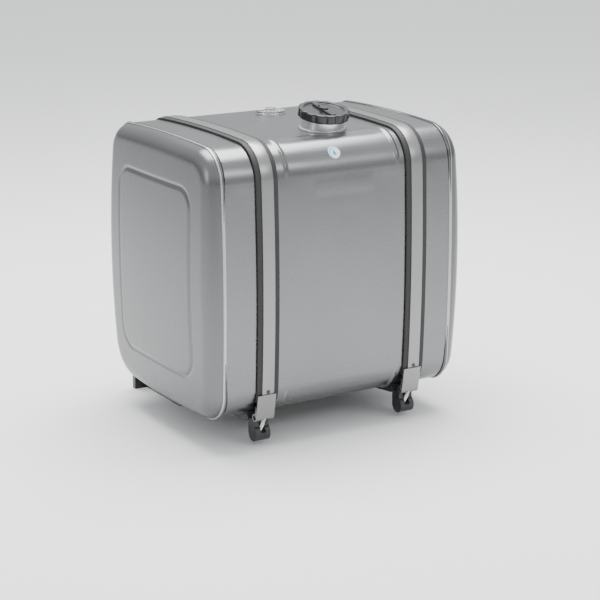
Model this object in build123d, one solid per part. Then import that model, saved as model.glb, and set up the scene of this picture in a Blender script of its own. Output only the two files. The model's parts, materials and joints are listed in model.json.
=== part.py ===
from build123d import *
import math
import os

# Fresh water tank: a rounded aluminium vessel held on two cast brackets by two steel straps.
# Millimetres. +X runs along the vessel, -Y is the front, +Z is up.
# The origin is on the floor, under the middle of the whole object.

# --- vessel -------------------------------------------------------------------
TANK_HEIGHT = 620.0
TANK_DEPTH = 508.0
SHELL_LENGTH = 594.0
SIDE_CROWN = 10.9
TOP_CROWN = 8.3
FRONT_TOP_RADIUS = 79.0
REAR_TOP_RADIUS = 62.0
REAR_BOTTOM_RADIUS = 94.0
FRONT_BOTTOM_RADIUS = 71.0
WALL = 3.0
FLOOR_CLEARANCE = 68.0

# --- pressed end caps ---------------------------------------------------------
END_DEPTH = 39.0
END_EDGE_RADIUS = 36.0
END_DOME = 8.0
END_SPHERE = 3900.0
PANEL_DEPTH = 340.0
PANEL_HEIGHT = 424.0
PANEL_CORNER = 46.0
PANEL_RISE = 1.0
PANEL_EDGE = 4.0
WELD_WIDTH = 9.0
WELD_RISE = 2.0

# --- pressed beads in the shell -----------------------------------------------
BEAD_X = (-138.0, 152.0)
BEAD_WIDTH = 10.0
BEAD_RISE = 3.0
BEAD_TOP_Y = -160.0
BEAD_TOP_DROP = 76.0
BEAD_LOW_Y = -176.0
BEAD_LOW_LIFT = 62.0

# --- baffles ------------------------------------------------------------------
BAFFLE_X = (-100.0, 100.0)
BAFFLE_T = 2.0
BAFFLE_HOLE_RADIUS = 68.0
BAFFLE_PORT_RADIUS = 42.0
BAFFLE_PORT_OFFSET = 160.0
BAFFLE_LIMBER_WIDTH = 120.0
BAFFLE_LIMBER_HEIGHT = 22.0

# --- straps and their linings -------------------------------------------------
STRAP_X = (-190.0, 200.0)
STRAP_WIDTH = 30.0
STRAP_T = 2.0
LINER_WIDTH = 55.0
LINER_T = 5.0
LINER_OVERRUN = 14.0
LINER_REAR_STOP = 18.0
STRAP_LEAVE_ANGLE = 10.0
STRAP_TAIL = 42.0

# --- folded eye at the front end of each strap --------------------------------
EYE_WIDTH = 46.0
EYE_SHIFT = -4.0
EYE_PLATE_T = 3.0
EYE_REACH = 57.0
EYE_BORE_RADIUS = 6.0
EYE_SLOT_WIDTH = 12.0
EYE_BACK_LEAF_START = 28.0
RIVET_ANGLE = 6.0
RIVET_RADIUS = 2.5
RIVET_HEAD_RADIUS = 4.5
RIVET_HEAD_H = 1.4

# --- T-bolts, washers and nuts ------------------------------------------------
BOLT_RADIUS = 5.0
BOLT_HEAD_RADIUS = 5.9
BOLT_HEAD_LENGTH = 36.0
BOLT_TAIL = 5.0
BOLT_CHAMFER = 0.8
THREAD_GAP = 0.05
WASHER_RADIUS = 10.5
WASHER_T = 2.0
NUT_AF = 16.0
NUT_H = 8.0
SEAT_GAP = 0.05

# --- brackets -----------------------------------------------------------------
PAD_T = 5.0
BRACKET_WIDTH = 56.0
FLANGE_T = 10.0
BRACKET_START_ANGLE = 66.0
NOSE_SETBACK = 41.0
NOSE_DROP = 38.0
NOSE_RADIUS = 19.0
NOSE_WIDTH = 36.0
NOSE_SLOT = 12.0
NOSE_SEAT = 3.0
NOSE_FLOOR_T = 14.0
SLOT_BACK_GAP = 1.5
SLOT_FRONT = 200.0
NUT_POCKET_WIDTH = 24.0
WEB_T = 14.0
RIB_T = 8.0
RIB_WIDTH = 40.0
ARCH_FRONT = (-190.0, 13.0)
ARCH_MIDDLE = (-80.0, 27.0)
FOOT_FRONT_Y = 120.0
FOOT_T = 10.0
BACK_PLATE_SETBACK = 55.0
BACK_PLATE_T = 14.0
BACK_PLATE_WIDTH = 120.0
BACK_PLATE_TOP = 13.0
CHASSIS_HOLE_RADIUS = 8.5
CHASSIS_SPACING_X = 84.0
CHASSIS_SPACING_Z = 250.0
CHASSIS_CENTRE_DROP = 190.0

# --- rear anchor of each strap ------------------------------------------------
ANCHOR_PIN_RADIUS = 5.0
ANCHOR_BORE_RADIUS = 5.1
ANCHOR_EYE_T = 3.0
LUG_T = 10.0
LUG_GAP = 1.5
LUG_BOTTOM_DROP = 32.0
LUG_SHELL_GAP = 2.0
BRACKET_TOP_DROP = 34.0
PIN_OVERHANG = 8.0
PIN_HEAD_RADIUS = 9.0
PIN_HEAD_T = 4.0
SPLIT_PIN_RADIUS = 1.2
SPLIT_PIN_LENGTH = 20.0

# --- filler neck (heights are along the neck, from the vessel's skin) ---------
NECK_X = 33.0
NECK_Y = -117.0
NECK_TILT = 10.0
NECK_RADIUS = 49.0
NECK_WALL = 3.0
NECK_BELOW = 22.0
NECK_TOP = 33.0
LIP_T = 3.0
LIP_RADIUS = NECK_RADIUS - 13.0
LIP_NOTCH_RADIUS = NECK_RADIUS - 5.0
LIP_NOTCH_WIDTH = 20.0
NECK_WELD_WIDTH = 5.0
NECK_WELD_RISE = 6.0

# --- filler cap ---------------------------------------------------------------
CAP_RADIUS = NECK_RADIUS + 9.5
CAP_LOBES = 14
CAP_SCALLOP_RADIUS = 6.0
CAP_SCALLOP_CENTRE = CAP_RADIUS + 4.0
CAP_SKIRT_BOTTOM = 27.0
CAP_ROOF_BOTTOM = 38.0
CAP_TOP = 47.0
CAP_SKIRT_GAP = 1.5
CAP_DISH_RADIUS = CAP_RADIUS - 12.5
CAP_DISH_DEPTH = 4.0
GRIP_WIDTH = 16.0
GRIP_LENGTH = 2 * CAP_DISH_RADIUS - 4.0
GRIP_TOP = 48.0
GRIP_END_RADIUS = 7.5
GASKET_RADIUS = NECK_RADIUS - 2.0
GASKET_BORE = LIP_RADIUS + 2.0
GASKET_T = 3.0
SEAL_PLATE_T = 1.5
STEM_RADIUS = 8.0
STEM_GAP = 0.05
LUG_REACH = LIP_NOTCH_RADIUS - 1.0
LUG_WIDTH = 18.0
LUG_H = 4.0
LUG_LIP_GAP = 0.3
SPRING_RADIUS = 14.0
SPRING_WIRE = 0.8
SPRING_PITCH = 2.0
SPRING_HEIGHT = 3.8
LOCK_RADIUS = 7.0
LOCK_BOTTOM = 39.5
KEYWAY = (1.6, 8.0, 4.0)
COVER_RADIUS = 10.0
COVER_T = 2.0
COVER_ARM_WIDTH = 8.0
COVER_PIVOT_Y = 20.0
COVER_PIVOT_RADIUS = 2.0
COVER_PIVOT_DEPTH = 4.0

# --- level sender -------------------------------------------------------------
SENDER_X = 40.0
SENDER_Y = 128.0
PORT_RADIUS = 36.0
PORT_BORE = 24.0
PORT_BELOW = 8.0
PORT_RISE = 3.0
SENDER_GASKET_T = 1.5
SENDER_HEAD_RADIUS = 35.0
SENDER_HEAD_T = 2.5
SENDER_HUB_RADIUS = 13.0
SENDER_HUB_H = 5.0
SENDER_STUB_RADIUS = 2.0
SENDER_STUB_LENGTH = 40.0
SENDER_SCREW_PCD = 58.0
SENDER_SCREWS = 5
SCREW_RADIUS = 2.5
SCREW_HEAD_RADIUS = 4.2
SCREW_HEAD_H = 2.0
SCREW_REACH = 6.0
STEM_ROD_RADIUS = 4.0
STEM_FLOOR_GAP = 20.0
STOP_RADIUS = 9.0
STOP_H = 6.0
FLOAT_RADIUS = 20.0
FLOAT_H = 42.0
FLOAT_BORE_GAP = 0.08

# --- drain and outlet ---------------------------------------------------------
DRAIN_X = 0.0
DRAIN_Y = 0.0
DRAIN_BOSS_RADIUS = 20.0
DRAIN_BOSS_BELOW = 6.0
DRAIN_BOSS_ABOVE = 8.0
DRAIN_THREAD_RADIUS = 11.0
DRAIN_WASHER_RADIUS = 15.0
DRAIN_WASHER_T = 2.0
DRAIN_HEAD_AF = 27.0
DRAIN_HEAD_H = 9.0
DRAIN_PLUG_REACH = 12.0
OUTLET_X = 0.0
OUTLET_DROP = 200.0
OUTLET_RADIUS = 27.0
OUTLET_BORE = 15.15
OUTLET_OUT_Y = 268.0
OUTLET_IN_Y = 236.0

# --- derived ------------------------------------------------------------------
ZC = FLOOR_CLEARANCE + TANK_HEIGHT / 2
HALF_LENGTH = SHELL_LENGTH / 2
END_X = HALF_LENGTH + END_DEPTH + END_DOME
BACK_PLATE_Y = TANK_DEPTH / 2 + BACK_PLATE_SETBACK
CENTRING_Y = (TANK_DEPTH / 2 + LINER_T + STRAP_T - BACK_PLATE_Y) / 2
FAR = 900.0
OVERCUT = 1.0
HOLE_REACH = 60.0

os.makedirs("parts", exist_ok=True)


def crown_radius(half_chord, rise):
    """Radius of the shallow arc that rises over a chord."""
    return (half_chord ** 2 + rise ** 2) / (2 * rise)


HALF_DEPTH = TANK_DEPTH / 2
HALF_HEIGHT = TANK_HEIGHT / 2
TOP_RADIUS = crown_radius(HALF_DEPTH - SIDE_CROWN, TOP_CROWN)
SIDE_RADIUS = crown_radius(HALF_HEIGHT - TOP_CROWN, SIDE_CROWN)
TOP_CENTRE = (0.0, ZC + HALF_HEIGHT - TOP_RADIUS)
BOTTOM_CENTRE = (0.0, ZC - HALF_HEIGHT + TOP_RADIUS)
FRONT_CENTRE = (-HALF_DEPTH + SIDE_RADIUS, ZC)
REAR_CENTRE = (HALF_DEPTH - SIDE_RADIUS, ZC)


def corner_centre(level, upright, radius):
    """Centre of the fillet that touches a top or bottom arc and a front or rear arc inside."""
    level_reach = TOP_RADIUS - radius
    upright_reach = SIDE_RADIUS - radius
    dy = upright[0] - level[0]
    dz = upright[1] - level[1]
    apart = math.hypot(dy, dz)
    along = (level_reach ** 2 - upright_reach ** 2 + apart ** 2) / (2 * apart)
    across = math.sqrt(level_reach ** 2 - along ** 2)
    foot = (level[0] + along * dy / apart, level[1] + along * dz / apart)
    options = []
    for side in (-1, 1):
        options.append((foot[0] - side * across * dz / apart, foot[1] + side * across * dy / apart))
    return min(options, key=lambda point: math.hypot(point[0], point[1] - ZC))


FRONT_TOP = corner_centre(TOP_CENTRE, FRONT_CENTRE, FRONT_TOP_RADIUS)
REAR_TOP = corner_centre(TOP_CENTRE, REAR_CENTRE, REAR_TOP_RADIUS)
REAR_BOTTOM = corner_centre(BOTTOM_CENTRE, REAR_CENTRE, REAR_BOTTOM_RADIUS)
FRONT_BOTTOM = corner_centre(BOTTOM_CENTRE, FRONT_CENTRE, FRONT_BOTTOM_RADIUS)


def heading(start, end):
    """Unit vector from start to end."""
    dy = end[0] - start[0]
    dz = end[1] - start[1]
    length = math.hypot(dy, dz)
    return dy / length, dz / length


def out_from(centre, direction, distance):
    return centre[0] + direction[0] * distance, centre[1] + direction[1] * distance


def middle_heading(first, second):
    return heading((0.0, 0.0), (first[0] + second[0], first[1] + second[1]))


def grown(amount):
    """Cross-section of the vessel, its outline moved outward by amount (inward if negative).

    Four shallow crown arcs and four corner arcs share their tangents, so moving the outline
    changes every radius by the same amount and leaves every centre in place.
    """
    chain = (
        (FRONT_TOP, FRONT_TOP_RADIUS, FRONT_CENTRE, TOP_CENTRE, TOP_RADIUS),
        (REAR_TOP, REAR_TOP_RADIUS, TOP_CENTRE, REAR_CENTRE, SIDE_RADIUS),
        (REAR_BOTTOM, REAR_BOTTOM_RADIUS, REAR_CENTRE, BOTTOM_CENTRE, TOP_RADIUS),
        (FRONT_BOTTOM, FRONT_BOTTOM_RADIUS, BOTTOM_CENTRE, FRONT_CENTRE, SIDE_RADIUS),
    )
    with BuildSketch(Plane.YZ) as sketch:
        with BuildLine():
            for index, (corner, radius, before, after, crown) in enumerate(chain):
                following = chain[(index + 1) % len(chain)][0]
                start = heading(before, corner)
                end = heading(after, corner)
                next_start = heading(after, following)
                reach = radius + amount
                crown_reach = crown + amount
                ThreePointArc(
                    out_from(corner, start, reach),
                    out_from(corner, middle_heading(start, end), reach),
                    out_from(corner, end, reach),
                )
                ThreePointArc(
                    out_from(corner, end, reach),
                    out_from(after, middle_heading(end, next_start), crown_reach),
                    out_from(following, next_start, chain[(index + 1) % len(chain)][1] + amount),
                )
        make_face()
    return sketch.sketch


def prism(face, x_low, x_high):
    """Extrude a face lying in the plane X = 0 so that it fills x_low to x_high."""
    return Pos(x_low, 0, 0) * extrude(face, x_high - x_low, dir=(1, 0, 0))


def vessel(amount, x_low, x_high):
    """Solid form of the vessel from x_low to x_high, its skin moved outward by amount."""
    return prism(grown(amount), x_low, x_high)


def band(inner, outer, x_centre, width):
    """Belt around the vessel between two distances from its skin."""
    low = x_centre - width / 2
    high = x_centre + width / 2
    return vessel(outer, low, high) - vessel(inner, low, high)


def side_shape(points, x_centre, width):
    """Prism of width about x_centre, from corner points given as (y, z)."""
    with BuildSketch(Plane.YZ) as sketch:
        with BuildLine():
            Polyline(*points, close=True)
        make_face()
    return prism(sketch.sketch, x_centre - width / 2, x_centre + width / 2)


def block(x_span, y_span, z_span):
    """Box between the low and high limits of each axis."""
    spans = (x_span, y_span, z_span)
    size = [high - low for low, high in spans]
    middle = [(high + low) / 2 for low, high in spans]
    return Pos(*middle) * Box(*size)


def about(centre, width):
    """Limits of a span of width about centre."""
    return centre - width / 2, centre + width / 2


def post(radius, low, high):
    """Upright cylinder from height low to height high, about the local Z axis."""
    return Pos(0, 0, low) * Cylinder(radius, high - low, align=(Align.CENTER, Align.CENTER, Align.MIN))


def ring(outer, inner, low, high):
    return post(outer, low, high) - post(inner, low - OVERCUT, high + OVERCUT)


def crossbar(radius, x_span, y, z):
    """Cylinder lying along X."""
    low, high = x_span
    return Pos((low + high) / 2, y, z) * Rot(0, 90, 0) * Cylinder(radius, high - low)


def hexagon_post(across_flats, low, high):
    return Pos(0, 0, low) * extrude(RegularPolygon(across_flats / math.sqrt(3), 6), high - low)


def save(shape, node):
    """Write a node, moved so that the origin is under the middle of the whole object."""
    solids = [Pos(0, CENTRING_Y, 0) * solid for solid in shape.solids()]
    export_step(solids[0] if len(solids) == 1 else Compound(children=solids), "parts/" + node + ".step")


def skin_top(y):
    """Height of the vessel's top skin at y, between the corner fillets."""
    return TOP_CENTRE[1] + math.sqrt(TOP_RADIUS ** 2 - y ** 2)


def corner_point(angle, distance, along=0.0):
    """Point at distance from the front lower corner's centre, angle degrees below forward.

    along then moves it down the line that leaves the corner at that angle.
    """
    lean = math.radians(angle)
    y = FRONT_BOTTOM[0] - distance * math.cos(lean) + along * math.sin(lean)
    z = FRONT_BOTTOM[1] - distance * math.sin(lean) - along * math.cos(lean)
    return y, z


# --- where the fittings stand -------------------------------------------------
NECK_PLACE = Pos(NECK_X, NECK_Y, skin_top(NECK_Y)) * Rot(NECK_TILT, 0, 0)
SENDER_PLACE = Pos(SENDER_X, SENDER_Y, skin_top(SENDER_Y))
DRAIN_PLACE = Pos(DRAIN_X, DRAIN_Y, FLOOR_CLEARANCE)
OUTLET_PLACE = Pos(OUTLET_X, 0, ZC - OUTLET_DROP) * Rot(-90, 0, 0)

STRAP_OUT = LINER_T + STRAP_T
EYE_OUT = STRAP_OUT + EYE_PLATE_T
EYE_RADIUS = EYE_BORE_RADIUS + EYE_PLATE_T
EYE_CENTRE = corner_point(STRAP_LEAVE_ANGLE, FRONT_BOTTOM_RADIUS + EYE_OUT - EYE_RADIUS, EYE_REACH)
NOSE_Y = NOSE_SETBACK - TANK_DEPTH / 2
NOSE_Z = FLOOR_CLEARANCE - NOSE_DROP
BOLT_RUN = math.hypot(NOSE_Y - EYE_CENTRE[0], NOSE_Z - EYE_CENTRE[1])
BOLT_LEAN = math.degrees(math.atan2(NOSE_Y - EYE_CENTRE[0], EYE_CENTRE[1] - NOSE_Z))
SEAT = BOLT_RUN + NOSE_SEAT
WASHER_START = SEAT + SEAT_GAP
NUT_START = WASHER_START + WASHER_T
NUT_END = NUT_START + NUT_H
NUT_BORE_RADIUS = BOLT_RADIUS + THREAD_GAP
ANCHOR_EYE_RADIUS = ANCHOR_BORE_RADIUS + ANCHOR_EYE_T
ANCHOR_Y = TANK_DEPTH / 2 + LINER_T + ANCHOR_EYE_RADIUS
LUG_OUTER = STRAP_WIDTH / 2 + LUG_GAP + LUG_T
PIN_END = LUG_OUTER + PIN_OVERHANG
BRACKET_TOP = ZC - BRACKET_TOP_DROP


# --- vessel -------------------------------------------------------------------
def tank_shell():
    """Rolled tube with beads pressed out beside the straps, and a hole for each welded fitting."""
    shell = vessel(0, -HALF_LENGTH, HALF_LENGTH)
    everywhere = (-FAR, FAR)
    top_zone = block(everywhere, (-FAR, BEAD_TOP_Y), (ZC + HALF_HEIGHT - BEAD_TOP_DROP, FAR))
    low_zone = block(everywhere, (-FAR, BEAD_LOW_Y), (0, FLOOR_CLEARANCE + BEAD_LOW_LIFT))
    for bead_x in BEAD_X:
        belt = band(-WALL / 2, BEAD_RISE, bead_x, BEAD_WIDTH)
        shell = shell + (belt & top_zone) + (belt & low_zone)
    shell = shell - vessel(-WALL, -HALF_LENGTH - OVERCUT, HALF_LENGTH + OVERCUT)
    shell = shell - NECK_PLACE * post(NECK_RADIUS, -HOLE_REACH, HOLE_REACH)
    shell = shell - SENDER_PLACE * post(PORT_RADIUS, -HOLE_REACH, HOLE_REACH)
    shell = shell - DRAIN_PLACE * post(DRAIN_BOSS_RADIUS, -HOLE_REACH, HOLE_REACH)
    return shell - OUTLET_PLACE * post(OUTLET_RADIUS, OUTLET_IN_Y, OUTLET_OUT_Y)


def end_form(inset):
    """Solid form of the right-hand pressing, moved inward by inset on every side."""
    body = vessel(-inset, HALF_LENGTH, END_X + OVERCUT)
    dome = Pos(END_X - END_SPHERE, 0, ZC) * Sphere(END_SPHERE - inset)
    body = body & dome
    body = fillet(body.faces().sort_by(Axis.X)[-1].edges(), END_EDGE_RADIUS - inset)
    outline = RectangleRounded(PANEL_DEPTH - 2 * inset, PANEL_HEIGHT - 2 * inset, PANEL_CORNER - inset)
    face = Pos(0, 0, ZC) * (Plane.YZ * outline)
    panel = prism(face, HALF_LENGTH, END_X - inset + PANEL_RISE)
    return body + fillet(panel.faces().sort_by(Axis.X)[-1].edges(), PANEL_EDGE - inset / 2)


def end_cap():
    return end_form(0) - end_form(WALL)


def end_weld():
    """Bead around the seam between the shell and the right-hand end cap."""
    low, high = about(HALF_LENGTH, WELD_WIDTH)
    return vessel(WELD_RISE, low, high) - vessel(0, low - OVERCUT, high + OVERCUT)


def baffle(x):
    """Cross wall with three flow holes, open along the top and bottom for air and water."""
    wall = vessel(-WALL, *about(x, BAFFLE_T))
    through = about(x, 10 * BAFFLE_T)
    wall = wall - crossbar(BAFFLE_HOLE_RADIUS, through, 0, ZC)
    wall = wall - crossbar(BAFFLE_PORT_RADIUS, through, 0, ZC - BAFFLE_PORT_OFFSET)
    wall = wall - crossbar(BAFFLE_PORT_RADIUS, through, 0, ZC + BAFFLE_PORT_OFFSET)
    for edge in (FLOOR_CLEARANCE, FLOOR_CLEARANCE + TANK_HEIGHT):
        gap = about(edge, 2 * BAFFLE_LIMBER_HEIGHT)
        wall = wall - block(through, about(0, BAFFLE_LIMBER_WIDTH), gap)
    return wall


# --- filler neck and cap ------------------------------------------------------
def filler_neck():
    """Tube with an inward lip that two notches open for the cap's bayonet."""
    tube = ring(NECK_RADIUS, NECK_RADIUS - NECK_WALL, -NECK_BELOW, NECK_TOP)
    lip = ring(NECK_RADIUS - NECK_WALL / 2, LIP_RADIUS, NECK_TOP - LIP_T, NECK_TOP)
    notches = block(
        about(0, 2 * LIP_NOTCH_RADIUS),
        about(0, LIP_NOTCH_WIDTH),
        (NECK_TOP - LIP_T - OVERCUT, NECK_TOP + OVERCUT),
    )
    return NECK_PLACE * (tube + (lip - notches))


def neck_weld():
    """Bead that follows the vessel's skin around the neck."""
    collar = NECK_PLACE * ring(NECK_RADIUS + NECK_WELD_WIDTH, NECK_RADIUS, -HOLE_REACH, HOLE_REACH)
    skin = band(0, NECK_WELD_RISE, NECK_X, 4 * NECK_RADIUS)
    upper = block((-FAR, FAR), (-FAR, FAR), (ZC, FAR))
    return collar & skin & upper


def cap_shell():
    """Lobed cap with a skirt over the neck, a dished top and a grip across it."""
    cap = post(CAP_RADIUS, CAP_SKIRT_BOTTOM, CAP_TOP)
    for lobe in range(CAP_LOBES):
        turn = Rot(0, 0, (lobe + 0.5) * 360 / CAP_LOBES)
        cap = cap - turn * Pos(CAP_SCALLOP_CENTRE, 0, 0) * post(CAP_SCALLOP_RADIUS, 0, CAP_TOP + OVERCUT)
    cap = cap - post(NECK_RADIUS + CAP_SKIRT_GAP, 0, CAP_ROOF_BOTTOM)
    cap = cap - post(CAP_DISH_RADIUS, CAP_TOP - CAP_DISH_DEPTH, CAP_TOP + OVERCUT)
    grip = block(about(0, GRIP_WIDTH), about(0, GRIP_LENGTH), (CAP_ROOF_BOTTOM + OVERCUT, GRIP_TOP))
    cap = cap + fillet(grip.edges().filter_by(Axis.Z), GRIP_END_RADIUS)
    cap = cap - post(LOCK_RADIUS + STEM_GAP, LOCK_BOTTOM - STEM_GAP, GRIP_TOP + OVERCUT)
    pivot_floor = GRIP_TOP - COVER_PIVOT_DEPTH - STEM_GAP
    pivot_bore = post(COVER_PIVOT_RADIUS + STEM_GAP, pivot_floor, GRIP_TOP + OVERCUT)
    return NECK_PLACE * (cap - Pos(0, COVER_PIVOT_Y, 0) * pivot_bore)


def cap_bayonet():
    """Stem and crossbar. The bar lines up with the neck's notches at rest."""
    bar_top = NECK_TOP - LIP_T - LUG_LIP_GAP
    bar_low = bar_top - LUG_H
    bar = block(about(0, 2 * LUG_REACH), about(0, LUG_WIDTH), (bar_low, bar_top))
    bar = bar & post(LUG_REACH, bar_low, bar_top)
    return NECK_PLACE * (bar + post(STEM_RADIUS, bar_low, CAP_ROOF_BOTTOM))


def cap_seal():
    """Gasket, the plate that presses it, and the spring under the plate."""
    gasket_low = NECK_TOP + SEAT_GAP
    gasket_high = gasket_low + GASKET_T
    gasket = ring(GASKET_RADIUS, GASKET_BORE, gasket_low, gasket_high)
    plate = ring(GASKET_RADIUS, STEM_RADIUS + STEM_GAP, gasket_high, gasket_high + SEAL_PLATE_T)
    path = Helix(pitch=SPRING_PITCH, height=SPRING_HEIGHT, radius=SPRING_RADIUS)
    wire = Plane(origin=path @ 0, z_dir=path % 0) * Circle(SPRING_WIRE)
    spring = Pos(0, 0, gasket_high - SPRING_WIRE - SPRING_HEIGHT) * sweep(wire, path=path)
    return NECK_PLACE * gasket, NECK_PLACE * plate, NECK_PLACE * spring


def lock_barrel():
    top = GRIP_TOP - STEM_GAP
    width, length, depth = KEYWAY
    keyway = block(about(0, width), about(0, length), (top - depth, top + OVERCUT))
    return NECK_PLACE * (post(LOCK_RADIUS, LOCK_BOTTOM, top) - keyway)


def key_cover():
    """Keyhole-shaped flap that swings aside about a pin in the grip."""
    low = GRIP_TOP + STEM_GAP
    high = low + COVER_T
    pivot = Pos(0, COVER_PIVOT_Y, 0)
    flap = post(COVER_RADIUS, low, high) + pivot * post(COVER_ARM_WIDTH / 2, low, high)
    flap = flap + block(about(0, COVER_ARM_WIDTH), (0, COVER_PIVOT_Y), (low, high))
    return NECK_PLACE * (flap + pivot * post(COVER_PIVOT_RADIUS, GRIP_TOP - COVER_PIVOT_DEPTH, high))


# --- level sender -------------------------------------------------------------
def sender():
    """Welded port ring, gasket, head and its five screws."""
    seal_top = PORT_RISE + SENDER_GASKET_T
    head_top = seal_top + SENDER_HEAD_T
    hub_top = head_top + SENDER_HUB_H
    port = ring(PORT_RADIUS, PORT_BORE, -PORT_BELOW, PORT_RISE)
    seal = ring(SENDER_HEAD_RADIUS, PORT_BORE, PORT_RISE, seal_top)
    head = post(SENDER_HEAD_RADIUS, seal_top, head_top) + post(SENDER_HUB_RADIUS, head_top, hub_top)
    head = head + crossbar(SENDER_STUB_RADIUS, (-SENDER_STUB_LENGTH, 0), 0, (head_top + hub_top) / 2)
    screws = []
    for index in range(SENDER_SCREWS):
        spot = Rot(0, 0, index * 360 / SENDER_SCREWS) * Pos(SENDER_SCREW_PCD / 2, 0, 0)
        shank = spot * post(SCREW_RADIUS, PORT_RISE - SCREW_REACH, head_top)
        port = port - shank
        seal = seal - shank
        head = head - shank
        screw_head = spot * post(SCREW_HEAD_RADIUS, head_top, head_top + SCREW_HEAD_H)
        screws.append(SENDER_PLACE * (shank + screw_head))
    return SENDER_PLACE * port, SENDER_PLACE * seal, SENDER_PLACE * head, Compound(children=screws)


def sender_stem():
    """Rod hanging from the head, its bottom stop, and the float that rides on it."""
    rod_low = FLOOR_CLEARANCE + WALL + STEM_FLOOR_GAP - skin_top(SENDER_Y)
    stop_top = rod_low + STOP_H
    float_low = stop_top + SEAT_GAP
    rod = post(STEM_ROD_RADIUS, rod_low, PORT_RISE + SENDER_GASKET_T)
    stop = ring(STOP_RADIUS, STEM_ROD_RADIUS, rod_low, stop_top)
    level_float = ring(FLOAT_RADIUS, STEM_ROD_RADIUS + FLOAT_BORE_GAP, float_low, float_low + FLOAT_H)
    return SENDER_PLACE * rod, SENDER_PLACE * stop, SENDER_PLACE * level_float


# --- drain and outlet ---------------------------------------------------------
def drain():
    """Welded boss under the vessel, its sealing washer and its hexagon plug."""
    washer_top = -DRAIN_BOSS_BELOW - SEAT_GAP
    washer_low = washer_top - DRAIN_WASHER_T
    boss = ring(DRAIN_BOSS_RADIUS, DRAIN_THREAD_RADIUS, -DRAIN_BOSS_BELOW, DRAIN_BOSS_ABOVE)
    washer = ring(DRAIN_WASHER_RADIUS, DRAIN_THREAD_RADIUS, washer_low, washer_top)
    plug = post(DRAIN_THREAD_RADIUS - THREAD_GAP, washer_low, DRAIN_PLUG_REACH - DRAIN_BOSS_BELOW)
    plug = plug + hexagon_post(DRAIN_HEAD_AF, washer_low - DRAIN_HEAD_H, washer_low)
    return DRAIN_PLACE * boss, DRAIN_PLACE * washer, DRAIN_PLACE * plug


def outlet_boss():
    return OUTLET_PLACE * ring(OUTLET_RADIUS, OUTLET_BORE, OUTLET_IN_Y, OUTLET_OUT_Y)


# --- straps -------------------------------------------------------------------
def below_strap(x, angle, rear_z):
    """What a belt leaves out: below the line leaving the front corner at angle, and below rear_z behind."""
    y, z = corner_point(angle, FAR)
    points = [FRONT_BOTTOM, (y, z), (y, -FAR), (FAR, -FAR), (FAR, rear_z), (0, rear_z)]
    return side_shape(points, x, 2 * LINER_WIDTH)


def slab(low, high, start, stop, x, width):
    """Straight plate where the strap has left the corner, between two distances off the skin."""
    corners = ((low, start), (high, start), (high, stop), (low, stop))
    points = [corner_point(STRAP_LEAVE_ANGLE, FRONT_BOTTOM_RADIUS + rise, along) for rise, along in corners]
    return side_shape(points, x, width)


def strap_liner(x):
    belt = band(0, LINER_T, x, LINER_WIDTH)
    return belt - below_strap(x, STRAP_LEAVE_ANGLE + LINER_OVERRUN, ZC + LINER_REAR_STOP)


def rivet_place(x):
    """On the strap's inner face, pointing out of it, just above the folded eye."""
    return Pos(x, *corner_point(RIVET_ANGLE, FRONT_BOTTOM_RADIUS + LINER_T)) * Rot(90 + RIVET_ANGLE, 0, 0)


def strap(x):
    """Steel band from the folded eye at the front, over the top, to the pin eye behind."""
    belt = band(LINER_T, STRAP_OUT, x, STRAP_WIDTH) - below_strap(x, STRAP_LEAVE_ANGLE, ZC)
    belt = belt + slab(LINER_T, STRAP_OUT, 0, STRAP_TAIL, x, STRAP_WIDTH)
    belt = belt + crossbar(ANCHOR_EYE_RADIUS, about(x, STRAP_WIDTH), ANCHOR_Y, ZC)
    belt = belt - crossbar(ANCHOR_BORE_RADIUS, about(x, 2 * STRAP_WIDTH), ANCHOR_Y, ZC)
    return belt - rivet_place(x) * post(RIVET_RADIUS, -STRAP_T, 2 * STRAP_T)


def strap_rivet(x):
    shank = post(RIVET_RADIUS, 0, STRAP_T)
    return rivet_place(x) * (shank + post(RIVET_HEAD_RADIUS, STRAP_T, STRAP_T + RIVET_HEAD_H))


def bolt_place(x):
    """At the strap eye's centre, with Z pointing down the T-bolt and Y towards the front."""
    return Pos(x, *EYE_CENTRE) * Rot(180 + BOLT_LEAN, 0, 0)


def strap_eye(x):
    """Plate folded round the T-bolt's head and back behind the strap's end, set a little to the left."""
    plate_x = x + EYE_SHIFT
    eye = slab(STRAP_OUT, EYE_OUT, 0, EYE_REACH, plate_x, EYE_WIDTH)
    eye = eye + slab(LINER_T, STRAP_OUT, STRAP_TAIL, EYE_REACH, plate_x, EYE_WIDTH)
    eye = eye + slab(LINER_T - EYE_PLATE_T, LINER_T, EYE_BACK_LEAF_START, EYE_REACH, plate_x, EYE_WIDTH)
    eye = eye + crossbar(EYE_RADIUS, about(plate_x, EYE_WIDTH), *EYE_CENTRE)
    eye = eye - crossbar(EYE_BORE_RADIUS, about(plate_x, 2 * EYE_WIDTH), *EYE_CENTRE)
    slot = block(about(0, EYE_SLOT_WIDTH), about(0, 2 * EYE_SLOT_WIDTH), (0, 2 * EYE_RADIUS))
    return eye - bolt_place(x) * slot


def t_bolt(x):
    shank = post(BOLT_RADIUS, 0, NUT_END + BOLT_TAIL)
    shank = chamfer(shank.faces().sort_by(Axis.Z)[-1].edges(), BOLT_CHAMFER)
    return bolt_place(x) * (shank + crossbar(BOLT_HEAD_RADIUS, about(0, BOLT_HEAD_LENGTH), 0, 0))


def strap_washer(x):
    return bolt_place(x) * ring(WASHER_RADIUS, NUT_BORE_RADIUS, WASHER_START, NUT_START)


def strap_nut(x):
    bore = post(NUT_BORE_RADIUS, NUT_START - OVERCUT, NUT_END + OVERCUT)
    return bolt_place(x) * (hexagon_post(NUT_AF, NUT_START, NUT_END) - bore)


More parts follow.
